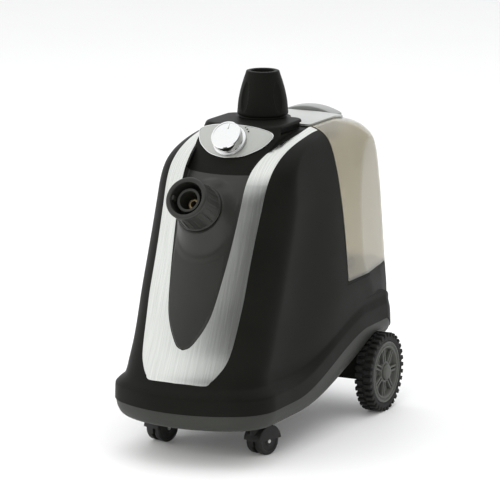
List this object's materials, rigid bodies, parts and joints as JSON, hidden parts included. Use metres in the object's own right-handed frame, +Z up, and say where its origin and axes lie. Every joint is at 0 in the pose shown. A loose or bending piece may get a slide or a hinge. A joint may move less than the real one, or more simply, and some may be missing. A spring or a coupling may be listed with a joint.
{
  "type": "garment steamer base",
  "caption": "Upright garment steamer base on wheels with a leaning hollow body, lift-out water tank, steam outlet with a union nut, control knob and a locking socket for a pole.",
  "frame": {"origin": "centre of the bounding box, on the floor", "axes": "+X to the viewer's right when facing the front, +Y to the rear, +Z up; the control face and the steam outlet face -Y"},
  "size_m": [0.2396, 0.4324, 0.45],
  "materials": {
    "body_plastic": "fine satin texture, near black",
    "panel_plastic": "satin, black",
    "tray_plastic": "satin, dark grey",
    "trim_steel": "brushed along its length, bright",
    "silver_paint": "fine metallic silver, satin",
    "knob_chrome": "turned and polished",
    "smoke_clear": "clear, smoke brown",
    "grip_satin": "dark satin",
    "wheel_grey": "matte grey",
    "tyre_rubber": "matte black, lugged",
    "caster_plastic": "matte black",
    "brass": "machined",
    "cast_aluminium": "as cast",
    "plain_steel": "plain",
    "seal_rubber": "matte black",
    "pipe_rubber": "milky silicone",
    "ceramic": "unglazed cream"
  },
  "bodies": {
    "base": {"base_tray": "tray_plastic", "body_shell": "body_plastic", "steel_trim": "trim_steel", "front_fascia": "panel_plastic", "top_console": "body_plastic", "control_plate": "silver_paint", "tank_cradle": "body_plastic", "receiver_cup": "panel_plastic", "receiver_pin": "plain_steel", "steam_regulator": "panel_plastic", "pole_socket": "body_plastic", "pole_clamp": "panel_plastic", "steam_spout": "panel_plastic", "brass_nozzle": "brass", "outlet_seal": "seal_rubber", "boiler_pot": "cast_aluminium", "boiler_seal": "seal_rubber", "boiler_lid": "cast_aluminium", "heating_element": "plain_steel", "thermostat": "ceramic", "feed_pipe": "pipe_rubber", "steam_pipe": "pipe_rubber", "cord_gland": "seal_rubber", "terminal_block": "ceramic", "axle_carrier": "body_plastic", "rear_axle": "plain_steel", "tray_screw_1": "plain_steel", "tray_screw_2": "plain_steel", "tray_screw_3": "plain_steel", "tray_screw_4": "plain_steel"},
    "knob": {"control_knob": "knob_chrome", "knob_spindle": "plain_steel"},
    "collar": {"lock_collar": "body_plastic"},
    "nut": {"hose_nut": "panel_plastic"},
    "tank": {"tank_shell": "smoke_clear", "tank_lid": "silver_paint", "tank_grip": "grip_satin"},
    "cap": {"tank_cap": "body_plastic", "cap_seal": "seal_rubber", "valve_guide": "silver_paint", "valve_spring": "plain_steel"},
    "valve": {"valve_plunger": "silver_paint"},
    "left_wheel": {"left_wheel_hub": "wheel_grey", "left_tyre": "tyre_rubber", "left_wheel_cover": "wheel_grey"},
    "left_swivel": {"left_caster_hood": "caster_plastic", "left_caster_stem": "plain_steel", "left_caster_axle": "plain_steel"},
    "left_inner_caster": {"left_caster_inner_wheel": "caster_plastic"},
    "left_outer_caster": {"left_caster_outer_wheel": "caster_plastic"},
    "right_wheel": {"right_wheel_hub": "wheel_grey", "right_tyre": "tyre_rubber", "right_wheel_cover": "wheel_grey"},
    "right_swivel": {"right_caster_hood": "caster_plastic", "right_caster_stem": "plain_steel", "right_caster_axle": "plain_steel"},
    "right_inner_caster": {"right_caster_inner_wheel": "caster_plastic"},
    "right_outer_caster": {"right_caster_outer_wheel": "caster_plastic"}
  },
  "joints": [
    {"name": "knob_turn", "type": "hinge", "parent": "base", "child": "knob", "pos_m": [0, -0.0575, 0.3735], "axis": [0, -0.77, 0.6381], "range_deg": [-270, 0]},
    {"name": "collar_turn", "type": "hinge", "parent": "base", "child": "collar", "pos_m": [0, 0.0299, 0.42], "axis": [0, 0, 1], "range_deg": [-60, 0]},
    {"name": "nut_turn", "type": "hinge", "parent": "base", "child": "nut", "pos_m": [0, -0.139, 0.304], "axis": [0, -0.8746, 0.4848], "range_deg": [-90, 0]},
    {"name": "tank_lift", "type": "slide", "parent": "base", "child": "tank", "axis": [0, 0, 1], "range_m": [0, 0.24]},
    {"name": "cap_turn", "type": "hinge", "parent": "tank", "child": "cap", "pos_m": [0.06, 0.138, 0.18], "axis": [0, 0, 1], "range_deg": [0, 90]},
    {"name": "valve_push", "type": "slide", "parent": "cap", "child": "valve", "axis": [0, 0, 1], "range_m": [0, 0.004], "stiffness_N_per_m": 300, "springref_m": -0.002, "deforming": ["valve_spring"]},
    {"name": "left_wheel_roll", "type": "hinge", "parent": "base", "child": "left_wheel", "pos_m": [-0.1058, 0.1515, 0.0509], "axis": [1, 0, 0], "continuous": true},
    {"name": "left_caster_swivel", "type": "hinge", "parent": "base", "child": "left_swivel", "pos_m": [-0.07291, -0.11948, 0.045], "axis": [0, 0, 1], "continuous": true},
    {"name": "left_inner_caster_roll", "type": "hinge", "parent": "left_swivel", "child": "left_inner_caster", "pos_m": [-0.0694, -0.108, 0.0174], "axis": [0.9563, -0.2924, 0], "continuous": true},
    {"name": "left_outer_caster_roll", "type": "hinge", "parent": "left_swivel", "child": "left_outer_caster", "pos_m": [-0.0694, -0.108, 0.0174], "axis": [0.9563, -0.2924, 0], "continuous": true},
    {"name": "right_wheel_roll", "type": "hinge", "parent": "base", "child": "right_wheel", "pos_m": [0.1058, 0.1515, 0.0509], "axis": [1, 0, 0], "continuous": true},
    {"name": "right_caster_swivel", "type": "hinge", "parent": "base", "child": "right_swivel", "pos_m": [0.06589, -0.11948, 0.045], "axis": [0, 0, 1], "continuous": true},
    {"name": "right_inner_caster_roll", "type": "hinge", "parent": "right_swivel", "child": "right_inner_caster", "pos_m": [0.0694, -0.108, 0.0174], "axis": [0.9563, -0.2924, 0], "continuous": true},
    {"name": "right_outer_caster_roll", "type": "hinge", "parent": "right_swivel", "child": "right_outer_caster", "pos_m": [0.0694, -0.108, 0.0174], "axis": [0.9563, -0.2924, 0], "continuous": true}
  ]
}
